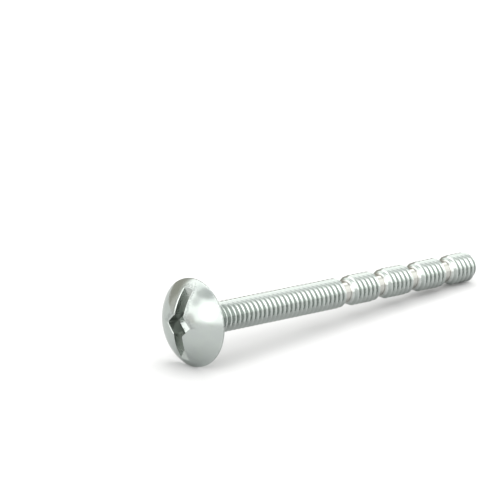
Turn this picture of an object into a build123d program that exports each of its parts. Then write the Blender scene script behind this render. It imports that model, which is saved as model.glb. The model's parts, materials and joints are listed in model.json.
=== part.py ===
"""Breakaway machine screw, lying at rest on its head's rim and the start of its point.

One piece of steel, headed and rolled: a truss head with a straight slot across a square recess, a long shank, and
a row of notches where the end is snapped off to length. Sizes are in millimetres. The shank is plain, at the
diameter over the crests of its 8-32 thread.
"""

import os
from math import atan2, cos, radians, sin, tan

from build123d import *

# Shank, measured from the bearing face under the head
shank_diameter = 4.06
shank_length = 50.8
head_fillet = 0.2
point_diameter = 3.1
point_angle = 45.0

# Truss head: a spherical dome on a thin rim
head_diameter = 11.4
rim_thickness = 0.2
dome_height = 2.7
rim_rounding = 0.08

# Drive, with its depths measured from the top of the dome
slot_width = 1.52
slot_depth = 1.7
square_width = 2.82
square_corner_radius = 0.1
square_depth = 2.1
bottom_slope = 27.0
mouth_rounding = 0.15

# Breakaway notches: a short plain neck between two cones
notch_count = 4
first_notch = 26.4
notch_spacing = 6.35
notch_width = 2.8
neck_length = 1.0
neck_diameter = 2.84

head_radius = head_diameter / 2
shank_radius = shank_diameter / 2
neck_radius = neck_diameter / 2
point_radius = point_diameter / 2
head_height = rim_thickness + dome_height
point_length = (shank_radius - point_radius) / tan(radians(point_angle))

# The screw tips forward until the start of its point meets the floor that its rim stands on
tilt = atan2(head_radius - shank_radius, shank_length - point_length)
along = Vector(cos(tilt), 0, -sin(tilt))
upright = Vector(sin(tilt), 0, cos(tilt))

# The origin is on the floor, halfway between the crown of the dome and the far edge of the end face
dome_radius = (head_radius**2 + dome_height**2) / (2 * dome_height)
crown_x = (dome_radius - head_height) * cos(tilt) - dome_radius
end_x = shank_length * cos(tilt) + point_radius * sin(tilt)
seat = Vector(-(crown_x + end_x) / 2, 0, head_radius * cos(tilt))

# Profiles are drawn with X along the shank and Y away from the axis
profile_plane = Plane(origin=seat, x_dir=along, z_dir=(0, -1, 0))
# The drive is cut down from the crown, with X along the slot
crown_plane = Plane(origin=seat, x_dir=upright, z_dir=along * -1).offset(head_height)
screw_axis = Axis(seat, along)

# The recess ends in the point of a pyramid, which would be this wide at the crown
bottom_height = square_width / 2 * tan(radians(bottom_slope))
bottom_spread = square_width + 2 * square_depth / tan(radians(bottom_slope))
bottom_point = crown_plane.offset(-square_depth - bottom_height).origin

with BuildPart() as breakaway_screw:
    # Blank: dome, rim, bearing face, shank and point, turned about the screw's axis
    with BuildSketch(profile_plane) as blank:
        with BuildLine():
            dome = RadiusArc((-head_height, 0), (-rim_thickness, head_radius), dome_radius)
            Polyline(
                dome @ 1,
                (0, head_radius),
                (0, shank_radius),
                (shank_length - point_length, shank_radius),
                (shank_length, point_radius),
                (shank_length, 0),
                dome @ 0,
            )
        make_face()
        fillet(blank.vertices().sort_by_distance((0, shank_radius))[0], head_fillet)
        rim_corners = [(-rim_thickness, head_radius), (0, head_radius)]
        fillet([blank.vertices().sort_by_distance(corner)[0] for corner in rim_corners], rim_rounding)
    revolve(axis=screw_axis)

    # Notches, each a neck with a cone on both sides
    with BuildSketch(profile_plane):
        with Locations([(first_notch + place * notch_spacing, 0) for place in range(notch_count)]):
            Polygon(
                (-notch_width / 2, head_radius),
                (-notch_width / 2, shank_radius),
                (-neck_length / 2, neck_radius),
                (neck_length / 2, neck_radius),
                (notch_width / 2, shank_radius),
                (notch_width / 2, head_radius),
                align=None,
            )
    revolve(axis=screw_axis, mode=Mode.SUBTRACT)

    # Straight slot, whose floor runs out on the dome
    with BuildSketch(crown_plane):
        Rectangle(head_diameter, slot_width)
    extrude(amount=-slot_depth, mode=Mode.SUBTRACT)

    # Square recess, with a corner pointing each way along the slot and a shallow point below its walls
    with BuildPart(mode=Mode.SUBTRACT):
        with BuildSketch(crown_plane):
            RectangleRounded(square_width, square_width, square_corner_radius, rotation=45)
        extrude(amount=-square_depth - bottom_height)
        with BuildSketch(crown_plane) as pyramid_base:
            Rectangle(bottom_spread, bottom_spread, rotation=45)
        loft([pyramid_base.sketch.face(), Vertex(*bottom_point)], mode=Mode.INTERSECT)

    # Rounded mouth, where the slot and the recess open through the dome
    dome_edges = breakaway_screw.faces().filter_by(GeomType.SPHERE).edges()
    slot_floor = slot_depth - head_height
    fillet(dome_edges.filter_by_position(screw_axis, -head_height, slot_floor + mouth_rounding), mouth_rounding)

breakaway_screw.part.label = "breakaway_screw"

os.makedirs("parts", exist_ok=True)
export_step(breakaway_screw.part, "parts/breakaway_screw.step")
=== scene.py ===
"""Dressed model of a breakaway machine screw: truss head, slotted square drive, threaded and notched shank.

The screw is one closed skin. Every part of it is a function of two parameters, worked out as whole numpy
arrays in the screw's own directions (along the shank, along the slot and across the slot, in millimetres),
and then set in place.
"""

import json
import logging
import math
from dataclasses import dataclass, field
from enum import Enum

import bmesh
import bpy
import numpy as np
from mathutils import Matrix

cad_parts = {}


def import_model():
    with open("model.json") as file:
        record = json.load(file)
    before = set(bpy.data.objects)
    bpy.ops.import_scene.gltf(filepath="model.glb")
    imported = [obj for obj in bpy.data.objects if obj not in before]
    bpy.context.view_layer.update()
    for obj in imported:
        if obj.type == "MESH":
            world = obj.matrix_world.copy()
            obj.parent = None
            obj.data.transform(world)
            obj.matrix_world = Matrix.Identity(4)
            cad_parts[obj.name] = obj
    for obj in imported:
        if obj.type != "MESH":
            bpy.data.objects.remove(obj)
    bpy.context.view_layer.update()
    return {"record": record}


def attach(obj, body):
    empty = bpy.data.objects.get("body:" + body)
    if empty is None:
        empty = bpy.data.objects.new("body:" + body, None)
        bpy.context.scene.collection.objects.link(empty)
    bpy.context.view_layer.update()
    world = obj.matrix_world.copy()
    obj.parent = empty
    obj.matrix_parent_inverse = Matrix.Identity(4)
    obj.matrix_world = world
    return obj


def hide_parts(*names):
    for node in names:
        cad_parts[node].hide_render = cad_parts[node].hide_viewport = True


METRES_PER_MM = 0.001
# Noise at which clouding begins and is full
CLOUD_LIMITS = (0.36, 0.64)
# An edge's share plus noise, at which rubbing begins and is full
RUBBED_LIMITS = (1.15, 1.6)
log = logging.getLogger("breakaway_screw")


def blend_steps(count: int) -> np.ndarray:
    """Evenly spaced shares from 0 to 1, both ends included."""
    return np.linspace(0.0, 1.0, count + 1)


def rounded_max(first: np.ndarray, second: np.ndarray, rounding: float) -> np.ndarray:
    """The larger of two lines, with their corner rounded.

    It is half of their sum and of the root of their difference squared plus the rounding squared.

    Args:
        first: One line's values.
        second: The other line's values.
        rounding: How far the corner is softened, in the same units.

    Returns:
        The rounded maximum, in the same shape as the inputs.
    """
    return (first + second + np.sqrt((first - second) ** 2 + rounding**2)) / 2


def smooth_rise(value: np.ndarray, start: float, stop: float) -> np.ndarray:
    """A share that leaves 0 at start and reaches 1 at stop with level ends: 3 t squared less 2 t cubed."""
    share = np.clip((value - start) / (stop - start), 0.0, 1.0)
    return share * share * (3.0 - 2.0 * share)


@dataclass(frozen=True)
class ScrewPlace:
    """Where the screw lies: the middle of its bearing face in metres, and its own three directions."""

    seat: np.ndarray
    directions: np.ndarray

    @classmethod
    def from_record(cls, record: dict, head_height: float) -> "ScrewPlace":
        """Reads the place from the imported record's mounts.

        Args:
            record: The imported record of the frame.
            head_height: From the top of the dome to the bearing face, in millimetres.

        Returns:
            The place, with rows of directions along the shank, along the slot and across the slot.
        """
        mounts = {mount["name"]: mount for mount in record["mounts"]}
        along = np.array(mounts["threaded_shank"]["axis"], float)
        along /= np.linalg.norm(along)
        across = np.array((0.0, -1.0, 0.0))
        slotwise = np.cross(across, along)
        crown = np.array(mounts["drive"]["pos_m"], float)
        seat = crown + head_height * METRES_PER_MM * along
        return cls(seat, np.stack((along, slotwise, across)))

    def set_down(self, points: np.ndarray) -> np.ndarray:
        """Points from the screw's own directions in millimetres to the part's frame in metres."""
        return self.seat + METRES_PER_MM * points @ self.directions


class Mask(Enum):
    """Shares from 0 to 1 that the mesh keeps at its points, for the finish to read.

    HOLLOW rises with the depth in the drive and RECESS is full on the square's walls; the finish paints shade
    by both.
    ROOT is full at the bottom of the thread and CREASE at the necks' ends, and the finish paints shade by
    these too;
    NECK is full on the necks of the notches. The mask of scuffs and painted shade is full at the drive's
    mouth and on the rim, and EDGE on edges and crests.
    """

    HOLLOW = "hollow"
    RECESS = "recess_wall"
    ROOT = "thread_root"
    NECK = "neck"
    CREASE = "crease"
    SCUFF = "scuffed_mouth"
    EDGE = "worn_edge"


Shares = dict[Mask, np.ndarray | float]


@dataclass
class Skin:
    """Grids of points that join edge to edge, gathered into one mesh. Distances between points in metres."""

    points: list[np.ndarray] = field(default_factory=list)
    corners: list[np.ndarray] = field(default_factory=list)
    shares: dict[Mask, list[np.ndarray]] = field(default_factory=lambda: {mask: [] for mask in Mask})
    filled: int = 0
    weld_distance: float = 3e-7
    least_edge: float = 1e-9

    def add(self, grid: np.ndarray, shares: Shares | None = None) -> None:
        """Adds a surface, as triangles split from each cell's far row to the near row's next point.

        Args:
            grid: Points as rows, columns and three coordinates, in the screw's own directions.
            shares: The masks that aren't 0 on this surface, each a number or spread over the grid's points.
        """
        rows, columns = grid.shape[:2]
        index = np.arange(rows * columns).reshape(rows, columns) + self.filled
        here, beside = index[:-1, :-1], index[:-1, 1:]
        beyond, opposite = index[1:, :-1], index[1:, 1:]
        self.corners.append(np.stack((here, beside, beyond), -1).reshape(-1, 3))
        self.corners.append(np.stack((beside, opposite, beyond), -1).reshape(-1, 3))
        self.points.append(grid.reshape(-1, 3))
        for mask, parts in self.shares.items():
            share = np.asarray((shares or {}).get(mask, 0.0), float)
            parts.append(np.broadcast_to(share, (rows, columns)).reshape(-1))
        self.filled += rows * columns

    def add_four_ways(self, grid: np.ndarray, shares: Shares, upper: Shares | None = None) -> None:
        """Adds a quarter of the head and its mirror images across the slot and along it.

        Args:
            grid: The quarter's points, in the screw's own directions.
            shares: The masks of all four quarters.
            upper: Masks that only the two upper quarters have.
        """
        for slotwise_sign, extra in ((1.0, upper), (-1.0, None)):
            for across_sign in (1.0, -1.0):
                self.add(grid * (1.0, slotwise_sign, across_sign), shares | (extra or {}))

    def to_mesh(self, name: str, place: ScrewPlace, sharp_angle: float) -> bpy.types.Mesh:
        """Welds the surfaces into one closed mesh with its faces pointing outwards.

        Args:
            name: The mesh's name.
            place: Where the screw lies.
            sharp_angle: Edges that turn by more than this, in radians, are shaded as edges.

        Returns:
            The finished mesh.
        """
        mesh = bpy.data.meshes.new(name)
        mesh.from_pydata(place.set_down(np.concatenate(self.points)), [], np.concatenate(self.corners))
        for mask, parts in self.shares.items():
            mesh.attributes.new(mask.value, "FLOAT", "POINT").data.foreach_set("value", np.concatenate(parts))
        work = bmesh.new()
        work.from_mesh(mesh)
        bmesh.ops.remove_doubles(work, verts=work.verts, dist=self.weld_distance)
        bmesh.ops.dissolve_degenerate(work, edges=work.edges, dist=self.least_edge)
        bmesh.ops.recalc_face_normals(work, faces=work.faces)
        work.to_mesh(mesh)
        work.free()
        mesh.polygons.foreach_set("use_smooth", np.ones(len(mesh.polygons), bool))
        mesh.set_sharp_from_angle(angle=sharp_angle)
        mesh.update()
        return mesh


@dataclass(frozen=True)
class Drive:
    """Straight slot across a square recess, with the square's corners along the slot and across it.

    Sizes are in millimetres. The rounding of the mouth takes at most rounding_share of a low wall's height.
    The hollow's mask, the share of painted shade in the drive, rises between shaded_depths below the dome,
    and the scuffs, which on the dome also stand for painted shade, end their given reach from the mouth.
    """

    slot_width: float = 1.52
    slot_depth: float = 1.7
    square_width: float = 2.82
    square_corner_radius: float = 0.1
    square_depth: float = 2.1
    bottom_slope: float = math.radians(27.0)
    mouth_rounding: float = 0.15
    rounding_share: float = 0.9
    shaded_depths: tuple[float, float] = (-0.6, 1.2)
    scuff_and_shade_reach: float = 2.4
    end_columns: int = 6
    slot_columns: int = 16
    square_columns: int = 20
    corner_columns: int = 6

    @property
    def half_slot(self) -> float:
        """Half of the slot's width."""
        return self.slot_width / 2

    @property
    def half_diagonal(self) -> float:
        """From the axis to the square's corner, before that is rounded."""
        return self.square_width / math.sqrt(2)

    @property
    def bottom_depth(self) -> float:
        """From the foot of the square's walls to the point at its bottom."""
        return self.square_width / 2 * math.tan(self.bottom_slope)

    @property
    def quarter_columns(self) -> int:
        """Columns of the head's grid in a quarter turn."""
        return self.end_columns + self.slot_columns + self.square_columns + self.corner_columns

    def inner_square(self) -> np.ndarray:
        """The square's outline inside the slot, from the middle of its corner to the slot's wall.

        Returns:
            Points along the slot and across it: an eighth of a circle, and then a straight run at 45 degrees.
        """
        radius, half = self.square_corner_radius, self.end_columns // 2
        turn = blend_steps(half)[:, None] * math.pi / 4
        centre = np.array((self.half_diagonal - radius * math.sqrt(2), 0.0))
        corner = centre + radius * np.concatenate((np.cos(turn), np.sin(turn)), 1)
        wall = np.array((self.half_diagonal - self.half_slot, self.half_slot))
        run = corner[-1] + blend_steps(self.end_columns - half)[1:, None] * (wall - corner[-1])
        return np.concatenate((corner, run))

    def outer_square(self, offset: np.ndarray) -> np.ndarray:
        """The square's outline outside the slot, from the slot's wall to the middle of its next corner.

        Args:
            offset: How far outside the wall each point lies.

        Returns:
            Points along the slot and across it: a straight run at 45 degrees, and then an eighth of a circle.
        """
        radius = self.square_corner_radius
        turn = (1.0 - blend_steps(self.corner_columns)) * math.pi / 4
        run_offset, turn_offset = offset[: self.square_columns + 1], offset[self.square_columns + 1 :]
        diagonal = self.half_diagonal + math.sqrt(2) * run_offset
        wall = self.half_slot + run_offset
        tangent = (radius + run_offset) * math.sin(math.pi / 4)
        share = blend_steps(self.square_columns)
        slotwise = (diagonal - wall) * (1.0 - share) + tangent * share
        centre = self.half_diagonal - radius * math.sqrt(2)
        reach = radius + turn_offset
        corner = np.stack((reach * np.sin(turn[1:]), centre + reach * np.cos(turn[1:])), -1)
        return np.concatenate((np.stack((slotwise, diagonal - slotwise), -1), corner))

    def slot_edge(self, end: float, offset: np.ndarray) -> np.ndarray:
        """The slot's edge, from its end to the square.

        Args:
            end: Where the slot runs out, along it from the axis.
            offset: How far outside the wall each point lies.

        Returns:
            Points along the slot and across it, on a straight run.
        """
        start = np.full_like(offset, end)
        square = (self.half_diagonal + math.sqrt(2) * offset) - (self.half_slot + offset)
        share = blend_steps(self.slot_columns)
        return np.stack((start + share * (square - start), self.half_slot + offset), -1)


@dataclass(frozen=True)
class TrussHead:
    """Spherical dome on a thin rim, with the drive sunk into it.

    Sizes are in millimetres. The bearing face has the head's columns as far as halving_row, and half as many
    from the next row on.
    """

    diameter: float = 11.4
    rim_thickness: float = 0.2
    dome_height: float = 2.7
    rim_rounding: float = 0.08
    shank_fillet: float = 0.2
    drive: Drive = field(default_factory=Drive)
    dome_rows: int = 26
    rounding_rows: int = 5
    wall_rows: int = 6
    rim_rows: tuple[int, int] = (4, 5)
    face_rows: int = 6
    halving_row: int = 2
    fillet_rows: int = 6
    rim_wear_power: int = 12

    @property
    def height(self) -> float:
        """From the top of the dome to the bearing face."""
        return self.rim_thickness + self.dome_height

    @property
    def dome_radius(self) -> float:
        """Radius of the sphere that the dome is part of."""
        return ((self.diameter / 2) ** 2 + self.dome_height**2) / (2 * self.dome_height)

    @property
    def dome_centre(self) -> float:
        """Where the sphere's centre lies along the axis."""
        return self.dome_radius - self.height

    def dome_level(self, plan: np.ndarray) -> np.ndarray:
        """Level of the dome: the sphere's centre less the root of radius squared less reach squared."""
        return self.dome_centre - np.sqrt(self.dome_radius**2 - (plan**2).sum(-1))

    def slot_reach(self) -> float:
        """How far from the axis the slot's floor runs out on the dome."""
        drop = self.dome_centre - (self.drive.slot_depth - self.height)
        return math.sqrt(self.dome_radius**2 - drop**2)

    def slot_end(self) -> float:
        """How far along the slot its walls run out on the dome."""
        return math.sqrt(self.slot_reach() ** 2 - self.drive.half_slot**2)

    def mouth_rounding(self) -> np.ndarray:
        """Rounding at each column of the mouth, which shrinks to nothing where the slot's wall runs out."""
        drive = self.drive
        edge = drive.slot_edge(self.slot_end(), np.zeros(drive.slot_columns + 1))
        wall_height = drive.slot_depth - self.height - self.dome_level(edge)
        at_slot = np.clip(drive.rounding_share * wall_height, 0.0, drive.mouth_rounding)
        at_end = np.zeros(drive.end_columns)
        at_square = np.full(drive.square_columns + drive.corner_columns, drive.mouth_rounding)
        return np.concatenate((at_end, at_slot, at_square))

    def mouth(self, offset: np.ndarray) -> np.ndarray:
        """A quarter of the drive's outline on the dome: the slot's end, its edge, and then the square's edge.

        Args:
            offset: How far outside the walls each point lies.

        Returns:
            Points along the slot and across it, one for each column.
        """
        drive = self.drive
        across = drive.inner_square()[:-1, 1]
        run_out = np.stack((np.sqrt(self.slot_reach() ** 2 - across**2), across), -1)
        first, last = drive.end_columns, drive.end_columns + drive.slot_columns
        edge = drive.slot_edge(self.slot_end(), offset[first : last + 1])
        square = drive.outer_square(offset[last:])
        return np.concatenate((run_out, edge, square[1:]))

    def rounded_mouth(self) -> np.ndarray:
        """The mouth's rounding, as rows from the dome inwards: a quarter circle from the dome to the walls.

        Each row is the mouth's outline moved out by what is left of the rounding, and sunk below the dome.
        """
        rounding = self.mouth_rounding()
        turn = blend_steps(self.rounding_rows) * math.pi / 2
        plans = np.stack([self.mouth(rounding * (1.0 - math.sin(angle))) for angle in turn])
        sunk = rounding * (1.0 - np.cos(turn))[:, None]
        return self.stood_on(plans, self.dome_level(plans) + sunk)

    def hollow(self, grid: np.ndarray) -> np.ndarray:
        """How far into the drive each point lies, as a smooth rise of its depth below the dome: the share of
        painted shade.
        """
        depth = grid[..., 0] - self.dome_level(grid[..., 1:])
        return smooth_rise(depth, *self.drive.shaded_depths)

    @staticmethod
    def stood_on(plan: np.ndarray, level: np.ndarray | float) -> np.ndarray:
        """Points of a plan along and across the slot, at their levels along the axis or all at one level."""
        return np.concatenate((np.broadcast_to(level, plan.shape[:-1])[..., None], plan), -1)

    def dome(self, mouth_row: np.ndarray) -> np.ndarray:
        """A quarter of the dome: straight shares from the mouth to the rim in plan, lifted onto the sphere.

        Args:
            mouth_row: The plan of the mouth's outer row.

        Returns:
            The grid, from the mouth to the rim.
        """
        angle = blend_steps(self.drive.quarter_columns) * math.pi / 2
        rim = self.rim_profile()[0, 1] * np.stack((np.cos(angle), np.sin(angle)), -1)
        share = blend_steps(self.dome_rows)[:, None, None]
        plan = mouth_row + share * (rim - mouth_row)
        return self.stood_on(plan, self.dome_level(plan))

    def rim_profile(self) -> np.ndarray:
        """Profile of the rim, as places along the axis and away from it.

        Returns:
            One arc from the dome to the widest place, and one from the widest place to the bearing face.
        """
        rounding = self.rim_rounding
        radius = self.diameter / 2 - rounding
        centre = self.dome_centre - math.sqrt((self.dome_radius - rounding) ** 2 - radius**2)
        start = math.atan2(radius, self.dome_centre - centre)
        front_rows, back_rows = self.rim_rows
        front = start + blend_steps(front_rows) * (math.pi / 2 - start)
        back = math.pi / 2 + blend_steps(back_rows) * math.pi / 2
        front_arc = np.stack((centre - rounding * np.cos(front), radius + rounding * np.sin(front)), -1)
        back_arc = np.stack((-rounding - rounding * np.cos(back), radius + rounding * np.sin(back)), -1)
        return np.concatenate((front_arc, back_arc))

    def under_head(self, shank_radius: float) -> np.ndarray:
        """Profile under the head, from the rim to the shank.

        Args:
            shank_radius: Radius of the shank that the fillet meets.

        Returns:
            The flat bearing face and then a quarter circle, as places along the axis and away from it.
        """
        fillet = self.shank_fillet
        outer, inner = self.diameter / 2 - self.rim_rounding, shank_radius + fillet
        flat = outer + blend_steps(self.face_rows) * (inner - outer)
        turn = blend_steps(self.fillet_rows)[1:] * math.pi / 2
        face = np.stack((np.zeros_like(flat), flat), -1)
        arc = np.stack((fillet * (1.0 - np.cos(turn)), shank_radius + fillet * (1.0 - np.sin(turn))), -1)
        return np.concatenate((face, arc))

    def build(self, skin: Skin, shank_radius: float, shank_columns: int) -> None:
        """Adds the whole head to the skin.

        Args:
            skin: Where the surfaces go.
            shank_radius: Radius of the shank that the fillet meets.
            shank_columns: Columns of the shank's grid, half as many as the head has.
        """
        mouth = self.rounded_mouth()
        self.build_dome(skin, mouth)
        self.build_drive(skin, mouth)
        self.build_underside(skin, shank_radius, shank_columns)

    def build_dome(self, skin: Skin, mouth: np.ndarray) -> None:
        """Adds the dome and the mouth's rounding.

        Args:
            skin: Where the surfaces go.
            mouth: A quarter of the mouth's rounding.
        """
        dome = self.dome(mouth[0, :, 1:])
        rim_wear = blend_steps(self.dome_rows)[:, None] ** self.rim_wear_power
        from_mouth = np.linalg.norm(dome - dome[:1], axis=-1)
        # Darker scuffs round the mouth on the upper quarters, which also stand for painted shade on the dome
        # there
        scuff_and_shade = 1.0 - smooth_rise(from_mouth, 0.0, self.drive.scuff_and_shade_reach)
        skin.add_four_ways(dome, {Mask.EDGE: rim_wear}, {Mask.SCUFF: scuff_and_shade})
        mouth_wear = np.sin(blend_steps(self.rounding_rows) * math.pi)[:, None]
        skin.add_four_ways(mouth, {Mask.EDGE: mouth_wear, Mask.HOLLOW: self.hollow(mouth)})

    def build_drive(self, skin: Skin, mouth: np.ndarray) -> None:
        """Adds the walls and floors of the drive, each a straight blend between two outlines.

        Args:
            skin: Where the surfaces go.
            mouth: A quarter of the mouth's rounding.
        """
        drive = self.drive
        slot_floor = drive.slot_depth - self.height
        square_floor = drive.square_depth - self.height
        walls = mouth[-1, drive.end_columns :]
        foot = self.stood_on(walls[:, 1:], slot_floor)
        inner = self.stood_on(drive.inner_square(), slot_floor)
        loop = np.concatenate((inner, foot[drive.slot_columns + 1 :]))
        deep = self.stood_on(loop[:, 1:], square_floor)
        end = self.stood_on(mouth[-1, : drive.end_columns + 1, 1:], slot_floor)
        down = blend_steps(self.wall_rows)[:, None, None]
        inwards = blend_steps(drive.slot_columns)[:, None, None]
        outside_slot = (np.arange(len(walls)) >= drive.slot_columns)[None, :]
        sunk = (
            (walls + down * (foot - walls), outside_slot),
            (loop + down * (deep - loop), 1.0),
            (end + inwards * (inner - end), 0.0),
        )
        # The square's walls take the recess's painted shade, and every sunk surface the drive's painted shade
        # by depth
        for surface, recess in sunk:
            skin.add_four_ways(surface, {Mask.HOLLOW: self.hollow(surface), Mask.RECESS: recess})
        point = np.array((square_floor + drive.bottom_depth, 0.0, 0.0))
        skin.add_four_ways(deep + down * (point - deep), {})

    def build_underside(self, skin: Skin, shank_radius: float, shank_columns: int) -> None:
        """Adds the rim, the bearing face and the fillet.

        Args:
            skin: Where the surfaces go.
            shank_radius: Radius of the shank that the fillet meets.
            shank_columns: Columns of the shank's grid, half as many as the head has.
        """
        columns = 4 * self.drive.quarter_columns
        skin.add(turned(self.rim_profile(), columns), {Mask.SCUFF: 1.0})
        under = self.under_head(shank_radius)
        fine, coarse = self.halving_row, self.halving_row + 1
        skin.add(turned(under[: fine + 1], columns))
        halved = turned(under[fine : coarse + 1], columns)
        # Each odd point of the inner row moves onto the point before it, which leaves the shank's columns
        halved[1, 1::2] = halved[1, :-1:2]
        skin.add(halved)
        skin.add(turned(under[coarse:], shank_columns))


def turned(profile: np.ndarray, columns: int) -> np.ndarray:
    """A surface of revolution: each profile point goes round the axis at its own distance.

    Args:
        profile: Places along the axis and away from it.
        columns: How many columns a whole turn has.

    Returns:
        The grid, with a last column that closes the turn.
    """
    angle = np.arange(columns + 1) * 2 * math.pi / columns
    along = np.broadcast_to(profile[:, :1], (len(profile), len(angle)))
    return np.stack((along, profile[:, 1:] * np.cos(angle), profile[:, 1:] * np.sin(angle)), -1)


@dataclass(frozen=True)
class Thread:
    """Rolled right-hand thread. Sizes in millimetres."""

    pitch: float = 0.79375
    crest_radius: float = 2.03
    depth: float = 0.487
    flank_angle: float = math.radians(30.0)
    root_half_width: float = 0.05
    root_rounding: float = 0.04
    crest_rounding: float = 0.11
    first_groove: float = 4.95
    groove_angle: float = math.radians(-20.0)
    run_in: tuple[float, float] = (0.5, 1.6)
    row_shares: tuple[float, ...] = (0.0, 0.05, 0.11, 0.2, 0.28, 0.35, 0.5, 0.65, 0.72, 0.8, 0.89, 0.95)

    def radius(self, along: np.ndarray, angle: np.ndarray) -> np.ndarray:
        """Radius of the thread: the crest less a groove whose middle moves one pitch along for each turn.

        The groove is a line that rises with the flank from its root to the crest, with both corners rounded.

        Args:
            along: Places along the axis.
            angle: Places round the axis, in radians.

        Returns:
            The thread's radius at each place.
        """
        turns = (along - self.first_groove) / self.pitch - (angle - self.groove_angle) / (2 * math.pi)
        from_middle = np.abs(turns - np.round(turns)) * self.pitch
        flank = self.depth - (from_middle - self.root_half_width) / math.tan(self.flank_angle)
        bottomed = -rounded_max(-flank, np.full_like(flank, -self.depth), self.root_rounding)
        groove = rounded_max(bottomed, np.zeros_like(flank), self.crest_rounding)
        return self.crest_radius - groove * smooth_rise(along, *self.run_in)


@dataclass(frozen=True)
class Notches:
    """Places where the end of the screw snaps off: a plain neck between two cones. Sizes in millimetres."""

    count: int = 4
    first: float = 26.4
    spacing: float = 6.35
    head_reach: float = 1.0
    tip_reach: float = 1.4
    neck_length: float = 1.0
    neck_diameter: float = 2.84
    crease_half_width: float = 0.08
    crease_depth: float = 0.05
    head_side_crease: float = 0.35

    def from_middle(self, along: np.ndarray) -> np.ndarray:
        """How far each place lies past the middle of the notch that is nearest to it."""
        place = np.clip(np.round((along - self.first) / self.spacing), 0, self.count - 1)
        return along - self.first - place * self.spacing

    def radius(self, along: np.ndarray, crest_radius: float) -> np.ndarray:
        """Radius that the notches leave: the neck's, and past its ends a line up to the crest.

        A small crease is taken off where the neck meets each line.

        Args:
            along: Places along the axis.
            crest_radius: The shank's radius between the notches.

        Returns:
            The radius at each place, which goes on rising outside the notches.
        """
        from_middle = self.from_middle(along)
        neck = self.neck_diameter / 2
        reach = np.where(from_middle < 0, self.head_reach, self.tip_reach)
        slope = (crest_radius - neck) / (reach - self.neck_length / 2)
        rise = slope * np.maximum(np.abs(from_middle) - self.neck_length / 2, 0.0)
        return neck + rise - self.crease_depth * self.crease(along)

    def rings(self) -> np.ndarray:
        """Places along the axis where the necks and their creases begin and end."""
        middles = self.first + self.spacing * np.arange(self.count)[:, None]
        half, crease = self.neck_length / 2, self.crease_half_width
        offsets = np.array((-half - crease, -half, -half + crease, half - crease, half, half + crease))
        return (middles + offsets).reshape(-1)

    def crease(self, along: np.ndarray) -> np.ndarray:
        """Share of a crease: most where a neck meets its cones, and down in a straight line to 0 beside it.

        The crease on the side towards the head is the fainter of the two. The share sets both the crease's
        depth and the painted shade in it.
        """
        from_middle = self.from_middle(along)
        from_end = np.abs(np.abs(from_middle) - self.neck_length / 2)
        most = np.where(from_middle < 0, self.head_side_crease, 1.0)
        return most * np.clip(1.0 - from_end / self.crease_half_width, 0.0, 1.0)


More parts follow.
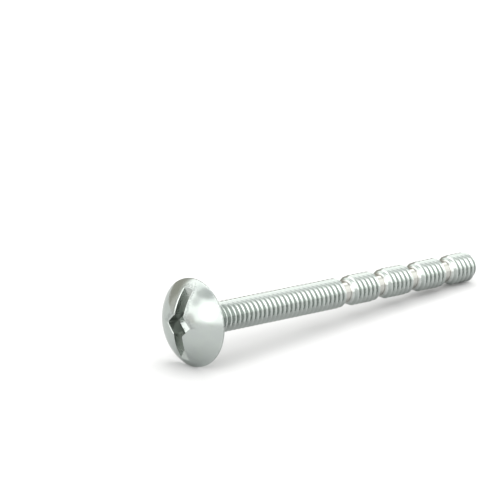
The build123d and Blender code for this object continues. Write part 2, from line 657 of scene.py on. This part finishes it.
@dataclass(frozen=True)
class ThreadedShank:
    """The shank from the fillet under the head to the end face.

    Sizes are in millimetres. The neck's mask begins and is full at neck_depths below the crest. Rows are made
    for spare_turns past both ends, and each run-out is found by halving a row's gap, halvings times. The end
    face has a ring at each of face_shares of its radius.
    """

    length: float = 50.8
    start: float = 0.2
    point_radius: float = 1.55
    point_angle: float = math.radians(45.0)
    neck_depths: tuple[float, float] = (0.45, 0.6)
    columns: int = 96
    spare_turns: tuple[int, int] = (2, 1)
    halvings: int = 24
    face_shares: tuple[float, ...] = (1.0, 0.7, 0.35, 0.0)
    thread: Thread = field(default_factory=Thread)
    notches: Notches = field(default_factory=Notches)

    def limit(self, along: np.ndarray) -> np.ndarray:
        """The largest radius that the notches and the point's chamfer leave at each place along the axis."""
        chamfer = self.point_radius + (self.length - along) * math.tan(self.point_angle)
        return np.minimum(self.notches.radius(along, self.thread.crest_radius), chamfer)

    def excess(self, along: np.ndarray, angle: np.ndarray) -> np.ndarray:
        """How far the thread would stand out of the notches and the point."""
        return self.thread.radius(along, angle) - self.limit(along)

    def rows(self, angle: np.ndarray) -> np.ndarray:
        """Places along the axis, row by row, following the thread and meeting every edge exactly.

        A row starts at its share of a pitch and moves one pitch along for each turn. Straight rings at the
        necks' ends are sorted in among them. The row nearest to each place where the thread runs out on a
        cone is moved onto it.

        Args:
            angle: Places round the axis, in radians.

        Returns:
            The places along the axis, as rows and columns.
        """
        thread = self.thread
        shift = thread.pitch * (angle - thread.groove_angle) / (2 * math.pi)
        spare_before, spare_after = self.spare_turns
        first_turn = math.floor((self.start - thread.first_groove) / thread.pitch) - spare_before
        last_turn = math.ceil((self.length - thread.first_groove) / thread.pitch) + spare_after
        turns = np.arange(first_turn, last_turn)[:, None] + np.array(thread.row_shares)
        helical = thread.first_groove + thread.pitch * turns.reshape(-1, 1) + shift
        rings = self.notches.rings()
        straight = np.broadcast_to(rings[:, None], (len(rings), len(angle)))
        along = np.sort(np.concatenate((helical, straight)), axis=0)
        near, far = along[:-1].copy(), along[1:].copy()
        crosses = self.excess(near, angle) * self.excess(far, angle) < 0
        for _ in range(self.halvings):
            middle = (near + far) / 2
            same = self.excess(near, angle) * self.excess(middle, angle) > 0
            near, far = np.where(same, middle, near), np.where(same, far, middle)
        row, place = np.nonzero(crosses)
        found = near[row, place]
        nearer = row + (found - along[row, place] > along[row + 1, place] - found)
        fixed = np.isin(along[nearer, place], rings)
        along[nearer[~fixed], place[~fixed]] = found[~fixed]
        return np.clip(along, self.start, self.length)

    def build(self, skin: Skin) -> None:
        """Adds the shank and its end face to the skin."""
        angle = blend_steps(self.columns) * 2 * math.pi
        along = self.rows(angle)
        thread, limit = self.thread.radius(along, angle), self.limit(along)
        radius = np.minimum(thread, limit)
        # How deep in the groove each point lies: the share of painted shade in the thread's roots
        root = np.where(thread < limit, (self.thread.crest_radius - thread) / self.thread.depth, 0.0)
        neck = smooth_rise(self.thread.crest_radius - limit, *self.neck_depths)
        # The crease's share: its depth, and the painted shade in it
        crease = self.notches.crease(along)
        skin.add(
            np.stack((along, radius * np.cos(angle), radius * np.sin(angle)), -1),
            {Mask.ROOT: root, Mask.NECK: neck, Mask.CREASE: crease, Mask.EDGE: (1.0 - root) * (1.0 - neck)},
        )
        face = np.array([(self.length, self.point_radius * share) for share in self.face_shares])
        skin.add(turned(face, self.columns))


class Mixed(Enum):
    """What a Mix node mixes: its data type, and the places of its three inputs and its output."""

    NUMBERS = ("FLOAT", (0, 2, 3), 0)
    COLOURS = ("RGBA", (0, 6, 7), 2)


@dataclass(frozen=True)
class Nodes:
    """A node tree with short ways to add and join its nodes."""

    tree: bpy.types.NodeTree

    def link(self, source: bpy.types.NodeSocket, target: bpy.types.NodeSocket) -> None:
        """Joins two sockets."""
        self.tree.links.new(source, target)

    def feed(self, target: bpy.types.NodeSocket, value: object) -> None:
        """Links a socket to an input, or sets the input to a number, vector or colour."""
        if isinstance(value, bpy.types.NodeSocket):
            self.link(value, target)
        elif target.type == "RGBA":
            target.default_value = (*value, 1.0)
        else:
            target.default_value = value

    def add(self, kind: str, settings: dict[str, object] | None = None, **values: object) -> bpy.types.Node:
        """Adds a node.

        Args:
            kind: The node's type.
            settings: The node's own options by name.
            values: What each named input is linked to or set to, with _ for a space.

        Returns:
            The new node.
        """
        node = self.tree.nodes.new(kind)
        for name, setting in (settings or {}).items():
            setattr(node, name, setting)
        for name, value in values.items():
            self.feed(node.inputs[name.replace("_", " ")], value)
        return node

    def combine(self, kind: str, operation: str, first: object, second: object) -> bpy.types.NodeSocket:
        """The number that one step of arithmetic makes of two values.

        Args:
            kind: The node's type, for numbers or for vectors.
            operation: The step's name in Blender.
            first: Its first value or socket.
            second: Its second value or socket.

        Returns:
            The result's socket.
        """
        node = self.add(kind, {"operation": operation})
        self.feed(node.inputs[0], first)
        self.feed(node.inputs[1], second)
        return node.outputs["Value"]

    def smooth_step(self, value: object, start: float, stop: float) -> bpy.types.NodeSocket:
        """A share that leaves 0 at start and reaches 1 at stop with level ends."""
        settings = {"interpolation_type": "SMOOTHSTEP"}
        node = self.add("ShaderNodeMapRange", settings, Value=value, From_Min=start, From_Max=stop)
        return node.outputs["Result"]

    def mix(self, mixed: Mixed, share: object, first: object, second: object) -> bpy.types.NodeSocket:
        """A value that goes from the first to the second with the share.

        Args:
            mixed: Whether the values are numbers or colours.
            share: The share or its socket.
            first: The value where the share is 0, or its socket.
            second: The value where the share is 1, or its socket.

        Returns:
            The result's socket.
        """
        data_type, inputs, output = mixed.value
        node = self.add("ShaderNodeMix", {"data_type": data_type})
        for place, value in zip(inputs, (share, first, second)):
            self.feed(node.inputs[place], value)
        return node.outputs[output]


def node_group(name: str, inputs: dict[str, str], outputs: dict[str, str]) -> bpy.types.NodeTree:
    """A new shader node group with its input and output nodes.

    Args:
        name: The group's name.
        inputs: Input names with their socket types.
        outputs: Output names with their socket types.

    Returns:
        The group, whose nodes are named Group Input and Group Output.
    """
    tree = bpy.data.node_groups.new(name, "ShaderNodeTree")
    for side, sockets in (("INPUT", inputs), ("OUTPUT", outputs)):
        for socket_name, kind in sockets.items():
            tree.interface.new_socket(socket_name, in_out=side, socket_type=kind)
    tree.nodes.new("NodeGroupInput")
    tree.nodes.new("NodeGroupOutput")
    return tree


@dataclass(frozen=True)
class SurfaceEffects:
    """Shader node groups that the finishes share, each built once."""

    grain: bpy.types.NodeTree
    wear: bpy.types.NodeTree

    @classmethod
    def build(cls) -> "SurfaceEffects":
        """Builds both groups."""
        return cls(cls.build_grain(), cls.build_wear())

    @staticmethod
    def build_grain() -> bpy.types.NodeTree:
        """Grain: fine noise for the height, and noise many times broader as a clouded mask."""
        inputs = {
            "Coordinate": "NodeSocketVector",
            "Grains": "NodeSocketFloat",
            "Clouds": "NodeSocketFloat",
        }
        outputs = {"Height": "NodeSocketFloat", "Cloud": "NodeSocketFloat"}
        tree = node_group("grain", inputs, outputs)
        nodes = Nodes(tree)
        given = tree.nodes["Group Input"].outputs
        place = given["Coordinate"]
        kind = "ShaderNodeTexNoise"
        fine = nodes.add(kind, Vector=place, Scale=given["Grains"], Detail=3.0, Roughness=0.6)
        broad = nodes.add(kind, Vector=place, Scale=given["Clouds"], Detail=4.0, Roughness=0.55)
        made = tree.nodes["Group Output"].inputs
        nodes.link(fine.outputs["Fac"], made["Height"])
        nodes.link(nodes.smooth_step(broad.outputs["Fac"], *CLOUD_LIMITS), made["Cloud"])
        return tree

    @staticmethod
    def build_wear() -> bpy.types.NodeTree:
        """Wear: an edge's share, broken up by noise, so that the edge is rubbed here and there."""
        inputs = {
            "Coordinate": "NodeSocketVector",
            "Edge": "NodeSocketFloat",
            "Patches": "NodeSocketFloat",
        }
        tree = node_group("wear", inputs, {"Mask": "NodeSocketFloat"})
        nodes = Nodes(tree)
        given = tree.nodes["Group Input"].outputs
        kind = "ShaderNodeTexNoise"
        noise = nodes.add(kind, Vector=given["Coordinate"], Scale=given["Patches"], Detail=3.0)
        broken = nodes.combine("ShaderNodeMath", "ADD", given["Edge"], noise.outputs["Fac"])
        rubbed = nodes.smooth_step(broken, *RUBBED_LIMITS)
        nodes.link(rubbed, tree.nodes["Group Output"].inputs["Mask"])
        return tree


@dataclass(frozen=True)
class ZincPlate:
    """Bright zinc plate over steel: smooth, fairly glossy and faintly clouded.

    It is rubbed brighter on edges and crests, and darker and duller round the drive's mouth and on the rim,
    with scuffs there that on the dome also stand for painted shade. It has painted shade in the drive, darker
    painted shade on the square's walls, and painted shade in the thread's roots and the necks' creases, and
    it is duller in the drive. Noise scales are per metre, and grain_height is in metres.
    """

    name: str = "zinc_plated_steel"
    colour: tuple[float, float, float] = (0.413, 0.448, 0.426)
    clouded: tuple[float, float, float] = (0.405, 0.435, 0.422)
    rubbed: tuple[float, float, float] = (0.487, 0.513, 0.496)
    # Painted shade in the thread's roots, fading up the flanks
    root_shade: tuple[float, float, float] = (0.357, 0.392, 0.370)
    in_neck: tuple[float, float, float] = (0.435, 0.439, 0.411)
    # Painted shade in the creases where the necks meet their cones
    crease_shade: tuple[float, float, float] = (0.2, 0.2, 0.18)
    # Painted shade that deepens into the drive
    hollow_shade: tuple[float, float, float] = (0.375, 0.402, 0.375)
    # Darker painted shade on the square recess's walls
    recess_shade: tuple[float, float, float] = (0.275, 0.300, 0.275)
    # Scuffs round the mouth and on the rim, which on the dome also stand for painted shade
    scuffed: tuple[float, float, float] = (0.300, 0.323, 0.312)
    edge_tint: tuple[float, float, float] = (0.80, 0.81, 0.80)
    roughness: tuple[float, float] = (0.13, 0.18)
    hollow_roughness: float = 0.3
    recess_roughness: float = 0.42
    scuffed_roughness: float = 0.26
    grains: float = 26000.0
    clouds: float = 900.0
    patches: float = 5200.0
    scuff_and_shade_patches: float = 3400.0
    grain_height: float = 1.2e-6
    grain_strength: float = 0.3

    def material(self, effects: SurfaceEffects) -> bpy.types.Material:
        """Builds the material.

        Args:
            effects: The shared node groups.

        Returns:
            The material, which reads Object coordinates and the mesh's masks.
        """
        material = bpy.data.materials.new(self.name)
        material.use_nodes = True
        nodes = Nodes(material.node_tree)
        shader = material.node_tree.nodes["Principled BSDF"]
        place = nodes.add("ShaderNodeTexCoord").outputs["Object"]
        settings = {"node_tree": effects.grain}
        grain = nodes.add(
            "ShaderNodeGroup", settings, Coordinate=place, Grains=self.grains, Clouds=self.clouds
        )
        masks = {}
        for mask in Mask:
            attribute = nodes.add("ShaderNodeAttribute", {"attribute_name": mask.value})
            masks[mask] = attribute.outputs["Fac"]
        for mask, patches in ((Mask.EDGE, self.patches), (Mask.SCUFF, self.scuff_and_shade_patches)):
            settings = {"node_tree": effects.wear}
            wear = nodes.add(
                "ShaderNodeGroup", settings, Coordinate=place, Edge=masks[mask], Patches=patches
            )
            masks[mask] = wear.outputs["Mask"]

        # Colours over the base: rubbed wear, the neck's tone, painted shade in the roots, creases, drive and
        # recess, and scuffs that partly stand for painted shade
        tones = {
            Mask.SCUFF: self.scuffed,
            Mask.EDGE: self.rubbed,
            Mask.ROOT: self.root_shade,
            Mask.NECK: self.in_neck,
            Mask.CREASE: self.crease_shade,
            Mask.HOLLOW: self.hollow_shade,
            Mask.RECESS: self.recess_shade,
        }
        colour = nodes.mix(Mixed.COLOURS, grain.outputs["Cloud"], self.clouded, self.colour)
        for mask, tone in tones.items():
            colour = nodes.mix(Mixed.COLOURS, masks[mask], colour, tone)
        nodes.link(colour, shader.inputs["Base Color"])

        low, high = self.roughness
        cloudy = nodes.add("ShaderNodeMapRange", Value=grain.outputs["Cloud"], To_Min=high, To_Max=low)
        roughness = cloudy.outputs["Result"]
        dulled = {
            Mask.SCUFF: self.scuffed_roughness,
            Mask.HOLLOW: self.hollow_roughness,
            Mask.RECESS: self.recess_roughness,
        }
        for mask, dullness in dulled.items():
            roughness = nodes.mix(Mixed.NUMBERS, masks[mask], roughness, dullness)
        nodes.link(roughness, shader.inputs["Roughness"])

        height = grain.outputs["Height"]
        depth, strength = self.grain_height, self.grain_strength
        bump = nodes.add("ShaderNodeBump", Height=height, Distance=depth, Strength=strength)
        nodes.link(bump.outputs["Normal"], shader.inputs["Normal"])
        shader.inputs["Metallic"].default_value = 1.0
        shader.inputs["Specular Tint"].default_value = (*self.edge_tint, 1.0)
        return material


@dataclass(frozen=True)
class BreakawayScrew:
    """The whole screw, one piece of steel."""

    head: TrussHead = field(default_factory=TrussHead)
    shank: ThreadedShank = field(default_factory=ThreadedShank)
    finish: ZincPlate = field(default_factory=ZincPlate)
    sharp_angle: float = math.radians(32.0)

    def build(self, record: dict, effects: SurfaceEffects) -> bpy.types.Object:
        """Builds the screw where the record says that it lies.

        Args:
            record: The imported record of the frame.
            effects: The shared node groups.

        Returns:
            The finished object.
        """
        skin = Skin()
        crest = self.shank.thread.crest_radius
        self.head.build(skin, crest, self.shank.columns)
        self.shank.build(skin)
        place = ScrewPlace.from_record(record, self.head.height)
        mesh = skin.to_mesh("threaded_screw", place, self.sharp_angle)
        mesh.materials.append(self.finish.material(effects))
        screw = bpy.data.objects.new(mesh.name, mesh)
        bpy.context.scene.collection.objects.link(screw)
        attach(screw, "root")
        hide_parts("breakaway_screw")
        return screw


@dataclass(frozen=True)
class TentPatch:
    """A round patch of the light tent, full as far as its inner angle and gone at its outer one.

    Angles are in degrees and seen from the screw, with the azimuth from +X towards +Y.
    """

    azimuth: float
    elevation: float
    inner: float
    outer: float
    radiance: tuple[float, float, float]

    def direction(self) -> tuple[float, float, float]:
        """The direction of the patch's middle."""
        azimuth, elevation = math.radians(self.azimuth), math.radians(self.elevation)
        level = math.cos(elevation)
        return level * math.cos(azimuth), level * math.sin(azimuth), math.sin(elevation)


@dataclass(frozen=True)
class LightTent:
    """White tent lit from outside, with a dimmer foot, and dimmer and brighter patches.

    Each patch lies over the ones before it. Angles are in degrees.
    """

    radiance: tuple[float, float, float] = (2.30, 2.30, 2.27)
    foot_radiance: tuple[float, float, float] = (1.32, 1.32, 1.29)
    foot_bottom: float = 1.5
    foot_top: float = 9.5
    patches: tuple[TentPatch, ...] = (
        # Fill light on the flanks of the thread
        TentPatch(-158.0, 27.0, 6.0, 20.0, (4.60, 4.60, 4.54)),
        # Dim warm wall that the dome's left side and the drive reflect
        TentPatch(92.0, 6.0, 14.0, 36.0, (0.64, 0.62, 0.55)),
        TentPatch(68.0, 12.0, 14.0, 34.0, (0.64, 0.62, 0.55)),
        TentPatch(40.0, 16.0, 10.0, 22.0, (0.57, 0.55, 0.49)),
        TentPatch(33.0, 29.0, 5.0, 11.0, (0.57, 0.55, 0.49)),
        TentPatch(78.0, 34.0, 6.0, 18.0, (0.71, 0.69, 0.63)),
        TentPatch(114.0, 4.0, 4.0, 18.0, (0.98, 0.95, 0.89)),
        TentPatch(164.0, 3.0, 6.0, 16.0, (1.21, 1.18, 1.14)),
        # Grey band over the top of the dome and down beside the slot
        TentPatch(-162.0, 63.0, 4.0, 15.0, (1.30, 1.32, 1.31)),
        TentPatch(-178.0, 61.0, 5.0, 16.0, (1.02, 1.04, 1.03)),
        TentPatch(163.0, 57.0, 5.0, 15.0, (1.06, 1.08, 1.07)),
        TentPatch(152.0, 55.0, 3.0, 11.0, (1.20, 1.22, 1.21)),
        TentPatch(163.0, 38.0, 4.0, 12.0, (1.55, 1.56, 1.54)),
        TentPatch(134.0, 56.0, 3.0, 9.0, (1.85, 1.88, 1.85)),
        # Dimmer and brighter panels, reflected mostly by the shank
        TentPatch(-38.0, 26.0, 8.0, 20.0, (2.10, 2.10, 2.07)),
        TentPatch(-43.0, 13.0, 4.0, 12.0, (1.85, 1.85, 1.82)),
        TentPatch(-10.0, 42.0, 4.0, 12.0, (1.55, 1.55, 1.51)),
        TentPatch(16.0, 44.0, 4.0, 13.0, (2.90, 2.90, 2.86)),
        TentPatch(150.0, 82.0, 5.0, 13.0, (2.60, 2.60, 2.57)),
        # Key light, from behind the screw
        TentPatch(45.0, 54.0, 8.0, 22.0, (5.00, 5.00, 4.92)),
    )

    def build(self) -> None:
        """Makes the tent as the world's background.

        Each patch is mixed in by a smooth step of the cosine of the angle from its middle.
        """
        world = bpy.data.worlds.new("light_tent")
        world.use_nodes = True
        nodes = Nodes(world.node_tree)
        direction = nodes.add("ShaderNodeTexCoord").outputs["Generated"]
        height = nodes.add("ShaderNodeSeparateXYZ", Vector=direction).outputs["Z"]
        foot = [math.sin(math.radians(angle)) for angle in (self.foot_bottom, self.foot_top)]
        share = nodes.smooth_step(height, *foot)
        colour = nodes.mix(Mixed.COLOURS, share, self.foot_radiance, self.radiance)
        for patch in self.patches:
            cosine = nodes.combine("ShaderNodeVectorMath", "DOT_PRODUCT", direction, patch.direction())
            outer, inner = math.cos(math.radians(patch.outer)), math.cos(math.radians(patch.inner))
            share = nodes.smooth_step(cosine, outer, inner)
            colour = nodes.mix(Mixed.COLOURS, share, colour, patch.radiance)
        nodes.link(colour, world.node_tree.nodes["Background"].inputs["Color"])
        bpy.context.scene.world = world


@dataclass(frozen=True)
class Studio:
    """Pale floor in a light tent, and the camera.

    The floor's size and the camera's clip_start are in metres. The camera's heading, from +X towards +Y, and
    its pitch, above the level, are in degrees.
    """

    floor_size: float = 4.0
    floor_colour: tuple[float, float, float] = (0.535, 0.535, 0.54)
    floor_roughness: float = 0.8
    floor_specular: float = 0.1
    tent: LightTent = field(default_factory=LightTent)
    camera_place_mm: tuple[float, float, float] = (-307.05, -307.75, 146.76)
    camera_heading: float = 46.416
    camera_pitch: float = -17.458
    lens_mm: float = 251.28
    sensor_width_mm: float = 36.0
    clip_start: float = 0.01

    def build(self) -> None:
        """Makes the floor, the tent and the camera."""
        self.build_floor()
        self.tent.build()
        self.build_camera()

    def build_floor(self) -> None:
        """Lays the floor, a plain pale sheet."""
        half = self.floor_size / 2
        corners = [(-half, -half, 0.0), (half, -half, 0.0), (half, half, 0.0), (-half, half, 0.0)]
        mesh = bpy.data.meshes.new("floor")
        mesh.from_pydata(corners, [], [(0, 1, 2, 3)])
        floor = bpy.data.objects.new("floor", mesh)
        material = bpy.data.materials.new("floor_paper")
        material.use_nodes = True
        shader = material.node_tree.nodes["Principled BSDF"]
        shader.inputs["Base Color"].default_value = (*self.floor_colour, 1.0)
        shader.inputs["Roughness"].default_value = self.floor_roughness
        shader.inputs["Specular IOR Level"].default_value = self.floor_specular
        mesh.materials.append(material)
        bpy.context.scene.collection.objects.link(floor)

    def build_camera(self) -> None:
        """Sets up the camera at the photograph's place.

        Unturned, a camera looks straight down with +Y at the top of its picture, a quarter turn from a level
        view towards +Y.
        """
        quarter_turn = 90.0
        camera = bpy.data.cameras.new("camera")
        camera.lens = self.lens_mm
        camera.sensor_width = self.sensor_width_mm
        camera.clip_start = self.clip_start
        viewer = bpy.data.objects.new("camera", camera)
        viewer.location = np.array(self.camera_place_mm) * METRES_PER_MM
        tip_up = math.radians(quarter_turn + self.camera_pitch)
        swing = math.radians(self.camera_heading - quarter_turn)
        viewer.rotation_euler = (tip_up, 0.0, swing)
        bpy.context.scene.collection.objects.link(viewer)
        bpy.context.scene.camera = viewer


def main() -> None:
    """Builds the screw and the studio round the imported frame."""
    logging.basicConfig(level=logging.INFO, format="%(name)s: %(message)s")
    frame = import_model()
    screw = BreakawayScrew().build(frame["record"], SurfaceEffects.build())
    log.info("%s: %d points, %d faces", screw.name, len(screw.data.vertices), len(screw.data.polygons))
    Studio().build()
    bpy.context.scene.view_settings.view_transform = "Standard"


if __name__ == "__main__":
    main()
